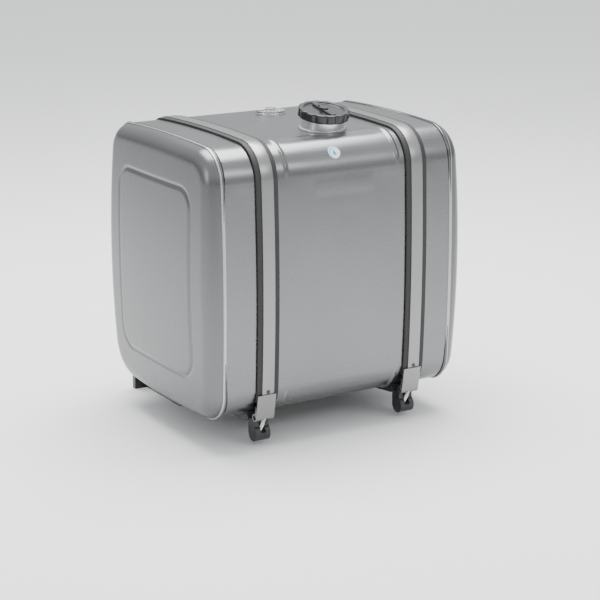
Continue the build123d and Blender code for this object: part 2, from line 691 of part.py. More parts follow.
# --- brackets -----------------------------------------------------------------
def cradle(inner, outer, x):
    """Belt under the vessel and up its back, as far as the bracket holds it."""
    start = corner_point(BRACKET_START_ANGLE, FAR)
    points = [FRONT_BOTTOM, start, (FAR, -FAR), (FAR, BRACKET_TOP), (0, BRACKET_TOP)]
    return band(inner, outer, x, BRACKET_WIDTH) & side_shape(points, x, 2 * BRACKET_WIDTH)


def arch(depth):
    """Side view under the arm: a face from the arch up by depth, or up to the cradle if depth is None."""
    front_y, front_drop = ARCH_FRONT
    middle_y, middle_drop = ARCH_MIDDLE
    bottom = FLOOR_CLEARANCE
    low = (front_y, bottom - front_drop), (middle_y, bottom - middle_drop), (FOOT_FRONT_Y, 0)
    with BuildSketch(Plane.YZ) as sketch:
        with BuildLine():
            ThreePointArc(*low)
            if depth is None:
                behind = BACK_PLATE_Y - BACK_PLATE_T / 2
                Polyline(low[2], (behind, 0), (behind, BRACKET_TOP), (0, BRACKET_TOP), low[0])
            else:
                high = [(y, z + depth) for y, z in low]
                ThreePointArc(*high)
                Line(low[2], high[2])
                Line(low[0], high[0])
        make_face()
    return sketch.sketch


def bracket_nose(x):
    """Rounded nose at the front of the arm, joined to the cradle above it."""
    nose = crossbar(NOSE_RADIUS, about(x, NOSE_WIDTH), NOSE_Y, NOSE_Z)
    root_y = (NOSE_Y - NOSE_RADIUS / 2, NOSE_Y + NOSE_RADIUS)
    root = block(about(x, NOSE_WIDTH), root_y, (NOSE_Z, FLOOR_CLEARANCE + PAD_T))
    return nose + root


def bolt_passage(x):
    """Slot open to the front, the hole in its floor, and the pocket under it for washer and nut."""
    back = -BOLT_RADIUS - SLOT_BACK_GAP
    reach = SEAT + 3 * NOSE_RADIUS
    slot = block(about(0, NOSE_SLOT), (back, SLOT_FRONT), (BOLT_RADIUS, SEAT - NOSE_FLOOR_T))
    hole = post(NOSE_SLOT / 2, BOLT_RADIUS, reach)
    pocket = block(about(0, NUT_POCKET_WIDTH), about(0, NUT_POCKET_WIDTH), (SEAT, reach))
    return bolt_place(x) * (slot + hole + pocket)


def anchor_lugs(x):
    """Two ears at the top of the back plate that hold the strap's rear pin."""
    middle = (LUG_OUTER + STRAP_WIDTH / 2 + LUG_GAP) / 2
    y_span = (ANCHOR_Y - ANCHOR_EYE_RADIUS - LUG_SHELL_GAP, BACK_PLATE_Y - BACK_PLATE_T / 2)
    z_span = (ZC - LUG_BOTTOM_DROP, ZC + BACK_PLATE_TOP)
    ears = block(about(x - middle, LUG_T), y_span, z_span) + block(about(x + middle, LUG_T), y_span, z_span)
    return ears - vessel(LUG_SHELL_GAP, *about(x, BRACKET_WIDTH))


def bracket(x):
    """Cast console: cradle, arm web and rib, foot, back plate, anchor ears and slotted nose."""
    arm = prism(arch(None), *about(x, WEB_T)) + prism(arch(RIB_T), *about(x, RIB_WIDTH)) + bracket_nose(x)
    arm = arm - vessel(PAD_T, *about(x, 2 * BRACKET_WIDTH))
    foot = block(about(x, BRACKET_WIDTH), (FOOT_FRONT_Y, BACK_PLATE_Y), (0, FOOT_T))
    plate_y = (BACK_PLATE_Y - BACK_PLATE_T, BACK_PLATE_Y)
    plate = block(about(x, BACK_PLATE_WIDTH), plate_y, (0, ZC + BACK_PLATE_TOP))
    casting = arm + cradle(PAD_T, PAD_T + FLANGE_T, x) + foot + plate + anchor_lugs(x)
    casting = casting - crossbar(ANCHOR_BORE_RADIUS, about(x, 2 * BRACKET_WIDTH), ANCHOR_Y, ZC)
    casting = casting - bolt_passage(x)
    for hole_x in about(x, CHASSIS_SPACING_X):
        for hole_z in about(ZC - CHASSIS_CENTRE_DROP, CHASSIS_SPACING_Z):
            place = Pos(hole_x, BACK_PLATE_Y, hole_z) * Rot(90, 0, 0)
            casting = casting - place * post(CHASSIS_HOLE_RADIUS, -OVERCUT, BACK_PLATE_T + OVERCUT)
    return casting


def anchor_pin(x):
    """Headed pin through the ears and the strap's rear eye, drilled for a split pin."""
    pin = crossbar(ANCHOR_PIN_RADIUS, (x - LUG_OUTER, x + PIN_END), ANCHOR_Y, ZC)
    pin = pin + crossbar(PIN_HEAD_RADIUS, (x - LUG_OUTER - PIN_HEAD_T, x - LUG_OUTER), ANCHOR_Y, ZC)
    return pin - split_place(x) * post(SPLIT_PIN_RADIUS, -SPLIT_PIN_LENGTH / 2, SPLIT_PIN_LENGTH / 2)


def split_place(x):
    return Pos(x + PIN_END - PIN_OVERHANG / 2, ANCHOR_Y, ZC)


def split_pin(x):
    half = SPLIT_PIN_LENGTH / 2
    pin = post(SPLIT_PIN_RADIUS, -half, half) + Pos(0, 0, half) * Sphere(2 * SPLIT_PIN_RADIUS)
    return split_place(x) * pin


# --- write every node ---------------------------------------------------------
def save_named(names, shapes):
    for name, shape in zip(names, shapes):
        save(shape, name)


save(tank_shell(), "tank_shell")
for maker, name in ((end_cap, "end_cap"), (end_weld, "end_weld")):
    right = maker()
    save(right, name + "_right")
    save(mirror(right, Plane.YZ), name + "_left")
save(filler_neck(), "filler_neck")
save(neck_weld(), "neck_weld")
save(cap_shell(), "cap_shell")
save(cap_bayonet(), "cap_bayonet")
save_named(("cap_gasket", "cap_seal_plate", "cap_spring"), cap_seal())
save(lock_barrel(), "lock_barrel")
save(key_cover(), "key_cover")
save_named(("sender_port_ring", "sender_gasket", "sender_head", "sender_screws"), sender())
save_named(("sender_stem", "sender_stop", "sender_float"), sender_stem())
save_named(("drain_boss", "drain_washer", "drain_plug"), drain())
save(outlet_boss(), "outlet_boss")

SIDES = ("left", "right")
STRAP_PARTS = {
    "strap_liner": strap_liner,
    "strap": strap,
    "strap_eye": strap_eye,
    "t_bolt": t_bolt,
    "strap_washer": strap_washer,
    "strap_nut": strap_nut,
    "bracket": bracket,
    "bracket_pad": lambda x: cradle(0, PAD_T, x),
}
for side, baffle_x, strap_x in zip(SIDES, BAFFLE_X, STRAP_X):
    save(baffle(baffle_x), "baffle_" + side)
    for name, maker in STRAP_PARTS.items():
        save(maker(strap_x), name + "_" + side)
for name, maker in (("strap_rivets", strap_rivet), ("anchor_pins", anchor_pin), ("split_pins", split_pin)):
    save(Compound(children=[maker(strap_x) for strap_x in STRAP_X]), name)
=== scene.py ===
import bmesh
import bpy
import json
import math
import numpy as np
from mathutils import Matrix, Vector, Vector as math_vector


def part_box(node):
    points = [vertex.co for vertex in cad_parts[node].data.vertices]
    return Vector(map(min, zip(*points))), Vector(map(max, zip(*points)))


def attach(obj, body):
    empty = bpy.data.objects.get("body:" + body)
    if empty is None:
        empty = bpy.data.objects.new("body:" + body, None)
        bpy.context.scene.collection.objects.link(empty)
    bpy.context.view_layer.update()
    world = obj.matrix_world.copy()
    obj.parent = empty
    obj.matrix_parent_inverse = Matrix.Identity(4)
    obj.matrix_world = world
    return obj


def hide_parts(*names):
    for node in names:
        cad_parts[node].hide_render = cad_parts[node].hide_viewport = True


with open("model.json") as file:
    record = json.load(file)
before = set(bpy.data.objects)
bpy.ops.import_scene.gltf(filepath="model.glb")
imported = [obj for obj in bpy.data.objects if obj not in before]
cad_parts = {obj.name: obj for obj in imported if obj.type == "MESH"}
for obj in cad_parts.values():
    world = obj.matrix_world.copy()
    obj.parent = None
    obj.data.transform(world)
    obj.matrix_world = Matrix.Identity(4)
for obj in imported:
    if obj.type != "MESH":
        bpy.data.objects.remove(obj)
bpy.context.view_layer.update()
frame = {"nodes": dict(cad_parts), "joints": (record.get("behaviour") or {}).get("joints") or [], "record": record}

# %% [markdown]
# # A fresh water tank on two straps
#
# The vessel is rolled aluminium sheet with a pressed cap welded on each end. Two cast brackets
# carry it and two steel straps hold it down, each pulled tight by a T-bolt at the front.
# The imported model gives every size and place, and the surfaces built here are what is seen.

SIDES = ("left", "right")
shell_low, shell_high = (np.array(corner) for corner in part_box("tank_shell"))

# %% [markdown]
# ## The vessel's cross-section
#
# The section is four shallow crowns joined by four corner fillets, all tangent to one another.
# Because neighbours are tangent, a curve at any distance outside or inside the skin has the same
# eight centres and only changes every radius. One function of distance along the outline and
# distance off it therefore serves the shell, the end caps, the welds, the liners and the straps.

# %% Eight arcs around the outline
BEAD_RISE = 0.003
TANK_HEIGHT = 0.620
TANK_DEPTH = 0.508
CENTRE_Y = -0.024
CENTRE_Z = 0.378
SIDE_CROWN = 0.0109
TOP_CROWN = 0.0083
half_depth = TANK_DEPTH / 2
half_height = TANK_HEIGHT / 2


def crown_radius(half_chord, rise):
    return (half_chord ** 2 + rise ** 2) / (2 * rise)


top_radius = crown_radius(half_depth - SIDE_CROWN, TOP_CROWN)
side_radius = crown_radius(half_height - TOP_CROWN, SIDE_CROWN)
top_centre = np.array([0, half_height - top_radius])
side_centre = np.array([side_radius - half_depth, 0])
CORNERS = (
    ("front_top", -1, 1, 0.079),
    ("rear_top", 1, 1, 0.062),
    ("rear_bottom", 1, -1, 0.094),
    ("front_bottom", -1, -1, 0.071),
)


def corner_centre(side, level, radius):
    """Centre of a fillet: top_radius - r and side_radius - r from the two crowns' centres."""
    upper = top_centre * (1, level)
    lateral = side_centre * (-side, 1)
    reach, other = top_radius - radius, side_radius - radius
    apart = np.linalg.norm(lateral - upper)
    along = (reach ** 2 - other ** 2 + apart ** 2) / (2 * apart)
    across = math.sqrt(reach ** 2 - along ** 2)
    heading = (lateral - upper) / apart
    foot = upper + heading * along
    options = [foot + across * turn * np.array([-heading[1], heading[0]]) for turn in (-1, 1)]
    return min(options, key=np.linalg.norm)


def angle_between(start, end):
    return math.atan2(end[1] - start[1], end[0] - start[0])


corner_centres = {name: corner_centre(side, level, radius) for name, side, level, radius in CORNERS}
corner_radii = {name: radius for name, side, level, radius in CORNERS}
crown_after = {
    "front_top": (top_centre, top_radius),
    "rear_top": (side_centre * (-1, 1), side_radius),
    "rear_bottom": (top_centre * (1, -1), top_radius),
    "front_bottom": (side_centre, side_radius),
}
order = [corner[0] for corner in CORNERS]
arcs = []
for index, name in enumerate(order):
    before = crown_after[order[index - 1]][0]
    after, after_radius = crown_after[name]
    following = corner_centres[order[(index + 1) % 4]]
    turn_in = angle_between(before, corner_centres[name])
    turn_out = angle_between(after, corner_centres[name])
    next_turn = angle_between(after, following)
    arcs.append((corner_centres[name], corner_radii[name], turn_in, turn_out))
    arcs.append((after, after_radius, turn_out, next_turn))
arc_centres = np.array([arc[0] for arc in arcs])
arc_radii = np.array([arc[1] for arc in arcs])
arc_starts = np.array([arc[2] for arc in arcs])
arc_sweeps = np.array([(arc[3] - arc[2] + math.pi) % (2 * math.pi) - math.pi for arc in arcs])
arc_ends = np.concatenate([[0], np.cumsum(np.abs(arc_sweeps) * arc_radii)])
PERIMETER = float(arc_ends[-1])
print("outline length", round(PERIMETER, 4), "arc sweeps", np.degrees(arc_sweeps).round(1))


# %% A point at any distance along the outline and off it
def skin(along, off=0.0):
    """(y, z) and outward (y, z) of the outline: centre_i + (radius_i + off) (cos a, sin a)."""
    along = np.mod(np.asarray(along, float), PERIMETER)
    which = np.clip(np.searchsorted(arc_ends, along, side="right") - 1, 0, 7)
    angle = arc_starts[which] + np.sign(arc_sweeps[which]) * (
        along - arc_ends[which]
    ) / arc_radii[which]
    outward = np.stack([np.cos(angle), np.sin(angle)], -1)
    reach = (arc_radii[which] + off)[..., None]
    return arc_centres[which] + reach * outward + (CENTRE_Y, CENTRE_Z), outward


def around(corner_steps, crown_steps):
    """Distances along the outline, with their own number of steps in each corner and each crown."""
    pieces = []
    for index in range(8):
        steps = crown_steps if index % 2 else corner_steps
        pieces.append(np.linspace(arc_ends[index], arc_ends[index + 1], steps, endpoint=False))
    return np.concatenate(pieces)


print(
    "outline top", skin(np.linspace(0, PERIMETER, 4000))[0].max(0), "bottom",
    skin(np.linspace(0, PERIMETER, 4000))[0].min(0)
)

# %% [markdown]
# ## Surfaces from arrays
#
# Every new piece is a grid of points. Rows and columns may close on themselves, and an end row
# may shrink to one point, so that rings, tubes and lids are all watertight.


# %% Turn a grid of points into a piece
def surface(
    name, points, wrap_rows=False, wrap_columns=False, close_start=False, close_end=False, uv=None
):
    """Quads between neighbours in a (rows, columns, 3) grid, with fans to a closed end row's mean."""
    rows, columns = points.shape[:2]
    index = np.arange(rows * columns).reshape(rows, columns)
    below = np.roll(index, -1, 0) if wrap_rows else index[1:]
    above = index if wrap_rows else index[:-1]
    if wrap_columns:
        quads = np.stack([above, np.roll(above, -1, 1), np.roll(below, -1, 1), below], -1)
    else:
        quads = np.stack([above[:, :-1], above[:, 1:], below[:, 1:], below[:, :-1]], -1)
    faces = quads.reshape(-1, 4).tolist()
    verts = points.reshape(-1, 3)
    for wanted, row in ((close_start, 0), (close_end, rows - 1)):
        if wanted:
            rim = index[row]
            pole = len(verts)
            verts = np.concatenate([verts, points[row].mean(0)[None]])
            following = np.roll(rim, -1)
            if not wrap_columns:
                rim, following = rim[:-1], following[:-1]
            faces += np.stack([rim, following, np.full_like(rim, pole)], -1).tolist()
    mesh = bpy.data.meshes.new(name)
    mesh.from_pydata(verts.tolist(), [], faces)
    if uv is not None:
        layer = mesh.uv_layers.new(name="place")
        corner = np.empty(len(mesh.loops), int)
        mesh.loops.foreach_get("vertex_index", corner)
        flat = np.concatenate([uv.reshape(-1, 2), np.zeros((len(verts) - rows * columns, 2))])
        layer.data.foreach_set("uv", flat[corner].ravel())
    work = bmesh.new()
    work.from_mesh(mesh)
    bmesh.ops.recalc_face_normals(work, faces=work.faces)
    work.to_mesh(mesh)
    work.free()
    mesh.polygons.foreach_set("use_smooth", np.ones(len(mesh.polygons), bool))
    piece = bpy.data.objects.new(name, mesh)
    bpy.context.scene.collection.objects.link(piece)
    return piece


def finish_piece(piece, node, material, body="vessel"):
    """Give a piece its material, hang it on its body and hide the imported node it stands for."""
    piece.data.materials.clear()
    piece.data.materials.append(material)
    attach(piece, body)
    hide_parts(node)
    return piece


def carry(name, path, outward, profile, x_middle, closed=False):
    """Profile (x, off) carried along a (y, z) path: (x_middle + x, path + off * outward)."""
    rows = len(path)
    x = np.broadcast_to(x_middle + profile[:, 0], (rows, len(profile)))
    yz = path[:, None] + profile[None, :, 1:] * outward[:, None]
    points = np.concatenate([x[..., None], yz], -1)
    return surface(
        name, points, wrap_rows=closed, wrap_columns=True, close_start=not closed,
        close_end=not closed
    )


def rounded_profile(width, low, high, radius, steps=4):
    """Rectangle of width about 0, from low to high, with each corner a quarter circle of radius."""
    centres = ((1, 1), (-1, 1), (-1, -1), (1, -1))
    turns = np.linspace(0, math.pi / 2, steps)
    points = []
    for quarter, (across, up) in enumerate(centres):
        middle = np.array(
            [across * (width / 2 - radius), (low + high) / 2 + up * ((high - low) / 2 - radius)]
        )
        angles = turns + quarter * math.pi / 2
        points.append(middle + radius * np.stack([np.cos(angles), np.sin(angles)], -1))
    return np.concatenate(points)


# %% [markdown]
# ## Finishes
#
# Each finish is a small network of shader nodes. Numbers are combined with ordinary arithmetic on
# the wires between nodes, so that a mask or a height reads as the formula it stands for.


# %% Arithmetic on shader wires
class Wire:
    """One output of a shader node, that sums, products and powers can be written with."""

    def __init__(self, finish, socket):
        self.finish = finish
        self.socket = socket

    def math(self, operation, *values):
        node = self.finish.node("ShaderNodeMath", {"operation": operation}, dict(enumerate(values)))
        return Wire(self.finish, node.outputs[0])

    def __add__(self, other):
        return self.math("ADD", self, other)

    def __radd__(self, other):
        return self.math("ADD", other, self)

    def __sub__(self, other):
        return self.math("SUBTRACT", self, other)

    def __rsub__(self, other):
        return self.math("SUBTRACT", other, self)

    def __mul__(self, other):
        return self.math("MULTIPLY", self, other)

    def __rmul__(self, other):
        return self.math("MULTIPLY", other, self)

    def __truediv__(self, other):
        return self.math("DIVIDE", self, other)

    def __rtruediv__(self, other):
        return self.math("DIVIDE", other, self)

    def __pow__(self, other):
        return self.math("POWER", self, other)

    def step(self, low, high):
        """0 below low, 1 above high, smooth between."""
        node = self.finish.node(
            "ShaderNodeMapRange",
            {"interpolation_type": "SMOOTHSTEP"},
            {"Value": self, "From Min": low, "From Max": high, "To Min": 0.0, "To Max": 1.0},
        )
        return Wire(self.finish, node.outputs["Result"])


class Finish:
    """A material while it is being made."""

    def __init__(self, name):
        self.material = bpy.data.materials.new(name)
        self.material.use_nodes = True
        self.tree = self.material.node_tree
        self.shader = self.tree.nodes["Principled BSDF"]

    def node(self, kind, settings=None, values=None):
        made = self.tree.nodes.new(kind)
        for key, value in (settings or {}).items():
            setattr(made, key, value)
        for key, value in (values or {}).items():
            self.put(made.inputs[key], value)
        return made

    def put(self, socket, value):
        if isinstance(value, Wire):
            self.tree.links.new(value.socket, socket)
        else:
            socket.default_value = value

    def set(self, **values):
        for key, value in values.items():
            self.put(self.shader.inputs[key.replace("_", " ").title()], value)
        return self

    def place(self, scale=(1, 1, 1)):
        """Place on the object in metres, stretched by scale."""
        coordinates = Wire(self, self.node("ShaderNodeTexCoord").outputs["Object"])
        mapped = self.node("ShaderNodeMapping", None, {"Vector": coordinates, "Scale": scale})
        return Wire(self, mapped.outputs["Vector"])

    def noise(self, scale=(1, 1, 1), detail=3.0, roughness=0.5):
        """Cloudy values about 0.5, one cloud to each metre divided by scale."""
        made = self.node("ShaderNodeTexNoise", None, {"Vector": self.place(scale), "Scale": 1.0})
        self.put(made.inputs["Detail"], detail)
        self.put(made.inputs["Roughness"], roughness)
        return Wire(self, made.outputs[0])

    def blend(self, amount, first, second):
        """Colour that goes from first to second as amount goes from 0 to 1."""
        made = self.node("ShaderNodeMix", {"data_type": "RGBA"})
        self.put(made.inputs["Factor"], amount)
        for socket, colour in ((made.inputs[6], first), (made.inputs[7], second)):
            self.put(socket, colour if isinstance(colour, Wire) else (*colour, 1.0))
        return Wire(self, made.outputs[2])

    def relief(self, height, distance, strength=1.0):
        """Normals for a height between 0 and 1 that stands distance metres high."""
        made = self.node(
            "ShaderNodeBump", None, {"Height": height, "Distance": distance, "Strength": strength}
        )
        self.put(self.shader.inputs["Normal"], Wire(self, made.outputs["Normal"]))
        return self


# %% [markdown]
# Rolled aluminium carries fine scratches along the rolling direction and soft, cloudy changes of
# gloss. Both are stretched noise: one very long and thin, one broad.


# %% Metal sheet
def sheet_metal(name, dark, light, grain, gloss, spread, depth):
    """Metal whose colour and roughness follow scratches stretched by grain, and broad clouds."""
    finish = Finish(name)
    scratches = finish.noise(grain, 4.0, 0.6)
    clouds = finish.noise((5, 5, 5), 2.0)
    finish.set(
        base_color=finish.blend(clouds * 0.6 + scratches * 0.4, dark, light),
        metallic=1.0,
        roughness=gloss + spread * (scratches - 0.5) + 0.10 * (clouds - 0.5),
    )
    return finish.relief(scratches, depth, 0.5).material


ALONG_X = (6, 900, 900)
ALONG_Z = (700, 700, 6)
MATERIALS = {
    "shell_aluminium": sheet_metal(
        "shell_aluminium", (0.165, 0.167, 0.170), (0.225, 0.227, 0.230), ALONG_X, 0.27, 0.10,
        0.00004
    ),
    # The caps' grain runs up and down, which is real; their darker colour is painted shade for end faces turned
    # away from the light.
    "cap_aluminium": sheet_metal(
        "cap_aluminium", (0.125, 0.127, 0.130), (0.170, 0.172, 0.175), ALONG_Z, 0.28, 0.10,
        0.00004
    ),
    "weld_aluminium": sheet_metal(
        "weld_aluminium", (0.36, 0.36, 0.36), (0.50, 0.50, 0.50), (300, 300, 300), 0.34, 0.15,
        0.0002
    ),
    "neck_aluminium": sheet_metal(
        "neck_aluminium", (0.62, 0.62, 0.62), (0.78, 0.78, 0.78), (80, 80, 1500), 0.26, 0.10,
        0.00003
    ),
    "strap_steel": sheet_metal(
        "strap_steel", (0.23, 0.23, 0.226), (0.30, 0.30, 0.296), ALONG_Z, 0.34, 0.12, 0.00004
    ),
    "bolt_zinc": sheet_metal(
        "bolt_zinc", (0.66, 0.66, 0.64), (0.80, 0.80, 0.78), (200, 200, 200), 0.28, 0.12, 0.00005
    ),
    "inner_steel": sheet_metal(
        "inner_steel", (0.50, 0.50, 0.50), (0.62, 0.62, 0.62), (150, 150, 150), 0.32, 0.12,
        0.00004
    ),
    "fastener_dark": sheet_metal(
        "fastener_dark", (0.05, 0.05, 0.055), (0.10, 0.10, 0.11), (200, 200, 200), 0.42, 0.12,
        0.00005
    ),
    "lock_brass": sheet_metal(
        "lock_brass", (0.62, 0.50, 0.26), (0.76, 0.63, 0.36), (300, 300, 300), 0.30, 0.10, 0.00003
    ),
    "plug_brass": sheet_metal(
        "plug_brass", (0.58, 0.46, 0.24), (0.72, 0.59, 0.33), (200, 200, 200), 0.36, 0.12, 0.00005
    ),
}
print("metals", len(MATERIALS))

# %% [markdown]
# Rubber, moulded plastic and painted iron don't conduct, so they show a plain sheen over a dark
# body. What tells them apart is the size and height of their grain.


# %% Rubber, plastic and painted casting
def moulded(name, dark, light, grain, gloss, spread, depth):
    """Non-metal whose colour, roughness and relief all follow one grain."""
    finish = Finish(name)
    fine = finish.noise((grain, grain, grain), 3.0, 0.6)
    broad = finish.noise((18, 18, 18), 2.0)
    finish.set(
        base_color=finish.blend(fine * 0.5 + broad * 0.5, dark, light),
        metallic=0.0,
        roughness=gloss + spread * (broad - 0.5) + spread * (fine - 0.5),
    )
    return finish.relief(fine, depth, 0.6).material


MATERIALS.update(
    liner_rubber=moulded(
        "liner_rubber", (0.010, 0.010, 0.010), (0.022, 0.022, 0.022), 900, 0.62, 0.16, 0.0002
    ),
    seal_rubber=moulded(
        "seal_rubber", (0.014, 0.014, 0.014), (0.028, 0.028, 0.028), 700, 0.55, 0.15, 0.0002
    ),
    cap_plastic=moulded(
        "cap_plastic", (0.010, 0.010, 0.011), (0.020, 0.020, 0.022), 1100, 0.22, 0.10, 0.00004
    ),
    float_plastic=moulded(
        "float_plastic", (0.60, 0.57, 0.48), (0.74, 0.71, 0.62), 600, 0.60, 0.15, 0.0002
    ),
    bracket_iron=moulded(
        "bracket_iron", (0.009, 0.009, 0.010), (0.026, 0.026, 0.028), 420, 0.38, 0.20, 0.0006
    ),
)
print("finishes", len(MATERIALS))

# %% [markdown]
# ## The shell
#
# The shell is one sheet rolled into a tube. Two ribs are pressed into it on the inner side of each
# strap, over the front corners only, and a long crease runs between them beside the filler. The
# sheet is never quite flat, and on bright metal even a third of a millimetre shows, so a few slow
# waves are part of its shape. Holes are left where a fitting is welded in.

# %% Relief of the shell
BEAD_X = (-0.138, 0.152)
BEAD_HALF_WIDTH = 0.007
SHELL_WALL = 0.003
rng = np.random.default_rng(7)


def ease(value, low, high):
    """Smooth step from 0 at low to 1 at high: 3 t^2 - 2 t^3."""
    t = np.clip((value - low) / (high - low), 0, 1)
    return t * t * (3 - 2 * t)


def hump(distance, half_width):
    """Raised cosine: (1 + cos(pi d / w)) / 2 inside w and 0 outside."""
    return np.where(
        np.abs(distance) < half_width, (1 + np.cos(np.pi * distance / half_width)) / 2, 0
    )


def pad(across, up, half_across, half_up, edge):
    """Flat-topped patch: the product of two eased plateaux."""
    return (
        1 - ease(np.abs(across), half_across - edge, half_across)
    ) * (1 - ease(np.abs(up), half_up - edge, half_up))


wave_lengths = rng.uniform(0.14, 0.34, (10, 2))
wave_turns = rng.uniform(0, 2 * math.pi, 10)


def shell_relief(along, x, y, z):
    """Height of the skin over its plain form: ribs + crease + sum of a sin(k.p + turn)."""
    on_top = ease(-y, 0.160 - CENTRE_Y - 0.014, 0.160 - CENTRE_Y) * ease(z, 0.612, 0.640)
    low = ease(-y, 0.176 - CENTRE_Y, 0.176 - CENTRE_Y + 0.02) * (1 - ease(z, 0.112, 0.130))
    ribs = sum(hump(x - bead, BEAD_HALF_WIDTH) for bead in BEAD_X) * (on_top + low) * BEAD_RISE
    span = ease(x, -0.128, -0.112) * (1 - ease(x, 0.126, 0.142))
    crease = 0.0012 * span * (
        hump(y + 0.196, 0.009) - 0.8 * hump(y + 0.212, 0.016)
    ) * (z > CENTRE_Z)
    phase = 2 * np.pi * (
        x[..., None] / wave_lengths[:, 0] + along[..., None] / wave_lengths[:, 1]
    ) + wave_turns
    calm = (1 - ease(np.abs(x), 0.20, 0.29)) * (y < 0)
    upper = 0.25 + 0.75 * hump(z - 0.600, 0.14)
    waves = 0.00016 * np.sin(phase).sum(-1) * calm * upper
    pads = pad(
        x - 0.010, z - 0.581, 0.076, 0.013, 0.005
    ) + 0.7 * pad(x + 0.002, z - 0.536, 0.058, 0.006, 0.004)
    return ribs + crease + waves + 0.0009 * pads * (y < CENTRE_Y - half_depth / 2)


# %% Grid of the shell, with its holes
dense = np.concatenate(
    [bead + np.linspace(-BEAD_HALF_WIDTH, BEAD_HALF_WIDTH, 11) for bead in BEAD_X]
)
shell_x = np.unique(
    np.round(np.concatenate([np.linspace(shell_low[0], shell_high[0], 110), dense]), 5)
)
shell_along = around(20, 34)
ALONG, X = np.meshgrid(shell_along, shell_x, indexing="ij")
flat_yz, outward = skin(ALONG)
relief = shell_relief(ALONG, X, flat_yz[..., 0], flat_yz[..., 1])
shell_points = np.concatenate([X[..., None], flat_yz + relief[..., None] * outward], -1)
shell = surface("tank_skin", shell_points, wrap_rows=True)


def fitting_centre(node):
    low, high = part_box(node)
    return [(a + b) / 2 for a, b in zip(low, high)]


def open_holes(piece, holes):
    """Take out the faces whose middle is within radius of an axis through centre."""
    middles = np.empty(len(piece.data.polygons) * 3)
    piece.data.polygons.foreach_get("center", middles)
    middles = middles.reshape(-1, 3)
    doomed = np.zeros(len(middles), bool)
    for centre, axis, radius, reach in holes:
        offset = middles - centre
        depth = offset @ axis
        doomed |= (
            np.linalg.norm(offset - depth[:, None] * axis, axis=1) < radius
        ) & (np.abs(depth) < reach)
    work = bmesh.new()
    work.from_mesh(piece.data)
    work.faces.ensure_lookup_table()
    bmesh.ops.delete(work, geom=[work.faces[i] for i in np.flatnonzero(doomed)], context="FACES")
    work.to_mesh(piece.data)
    work.free()
    return int(doomed.sum())


NECK_TILT = math.radians(10)
neck_joint = next(joint for joint in frame["joints"] if joint["name"] == "cap_turn")
neck_base = np.array(neck_joint.get("pos_m") or neck_joint["pos"])
neck_axis = np.array([0, -math.sin(NECK_TILT), math.cos(NECK_TILT)])
UP = np.array([0.0, 0.0, 1.0])
REARWARD = np.array([0.0, 1.0, 0.0])
sender_base = np.array(fitting_centre("sender_port_ring"))
drain_base = np.array(fitting_centre("drain_boss"))
outlet_base = np.array(fitting_centre("outlet_boss"))
removed = open_holes(
    shell,
    (
        (neck_base, neck_axis, 0.0505, 0.05),
        (sender_base, UP, 0.0335, 0.05),
        (drain_base, UP, 0.0165, 0.05),
        (outlet_base, REARWARD, 0.0240, 0.05),
    ),
)


def thicken(piece, wall):
    """Give a skin a wall of even thickness behind its outer face."""
    modifier = piece.modifiers.new("wall", "SOLIDIFY")
    modifier.thickness = wall
    modifier.offset = -1


thicken(shell, SHELL_WALL)
finish_piece(shell, "tank_shell", MATERIALS["shell_aluminium"])
print("shell grid", shell_points.shape[:2], "faces opened", removed)

# %% [markdown]
# ## The pressed end caps
#
# A cap starts as a flat blank and is pressed in one stroke. Its skirt turns through a wide radius
# into a very shallow dome. A second, raised panel with rounded corners stiffens the middle, and
# a narrow valley around it shows as a bright line. Rows of the grid follow these features inward:
# skirt, turned edge, dome, valley, panel.

# %% Height of the pressing
END_FACE = 0.344
END_SPHERE = 3.9
EDGE_RADIUS = 0.036
PANEL = (0.340, 0.424, 0.046)
PANEL_RISE = 0.001


def dome(y, z):
    """Distance of the dome from the middle of the vessel: face - R + sqrt(R^2 - y^2 - z^2)."""
    return END_FACE - END_SPHERE + np.sqrt(END_SPHERE ** 2 - y ** 2 - z ** 2)


def panel_outline(theta, inset):
    """Distance from the middle to a rounded rectangle, off a fine polygon of it at theta."""
    depth, height, corner = PANEL
    outline = rounded_profile(
        depth - 2 * inset, -height / 2 + inset, height / 2 - inset, corner - inset, 24
    )
    closed = np.concatenate([outline, outline[:1]])
    share = np.linspace(0, 1, 30, endpoint=False)[:, None, None]
    fine = (closed[:-1] * (1 - share) + closed[1:] * share).transpose(1, 0, 2).reshape(-1, 2)
    angles = np.arctan2(fine[:, 1], fine[:, 0])
    ranked = np.argsort(angles)
    return np.interp(
        theta, angles[ranked], np.linalg.norm(fine[ranked], axis=1), period=2 * math.pi
    )


end_along = around(26, 44)
rim_yz, _ = skin(end_along)
rim_yz = rim_yz - (CENTRE_Y, CENTRE_Z)
rows = [(rim_yz, np.full(len(end_along), shell_high[0]))]
for turn in np.linspace(0, math.pi / 2, 12):
    inset = EDGE_RADIUS * (1 - math.cos(turn))
    here = skin(end_along, -inset)[0] - (CENTRE_Y, CENTRE_Z)
    rows.append((here, dome(here[:, 0], here[:, 1]) - EDGE_RADIUS * (1 - math.sin(turn))))
turned = rows[-1][0]
theta = np.arctan2(turned[:, 1], turned[:, 0])
turned_reach = np.linalg.norm(turned, axis=1)
ray = np.stack([np.cos(theta), np.sin(theta)], -1)
VALLEY = 0.010
for share in np.linspace(0.12, 1, 9):
    reach = turned_reach * (1 - share) + panel_outline(theta, -VALLEY) * share
    here = ray * reach[:, None]
    rows.append((here, dome(here[:, 0], here[:, 1])))
for share in np.linspace(0, 1, 15)[1:]:
    inset = -VALLEY + share * 2 * VALLEY
    here = ray * panel_outline(theta, inset)[:, None]
    height = PANEL_RISE * ease(share, 0.45, 0.95) - 0.0016 * hump(share - 0.38, 0.36)
    rows.append((here, dome(here[:, 0], here[:, 1]) + height))
inner = rows[-1][0]
for share in np.linspace(1, 0, 12)[1:-1]:
    here = inner * share
    rows.append((here, dome(here[:, 0], here[:, 1]) + PANEL_RISE))
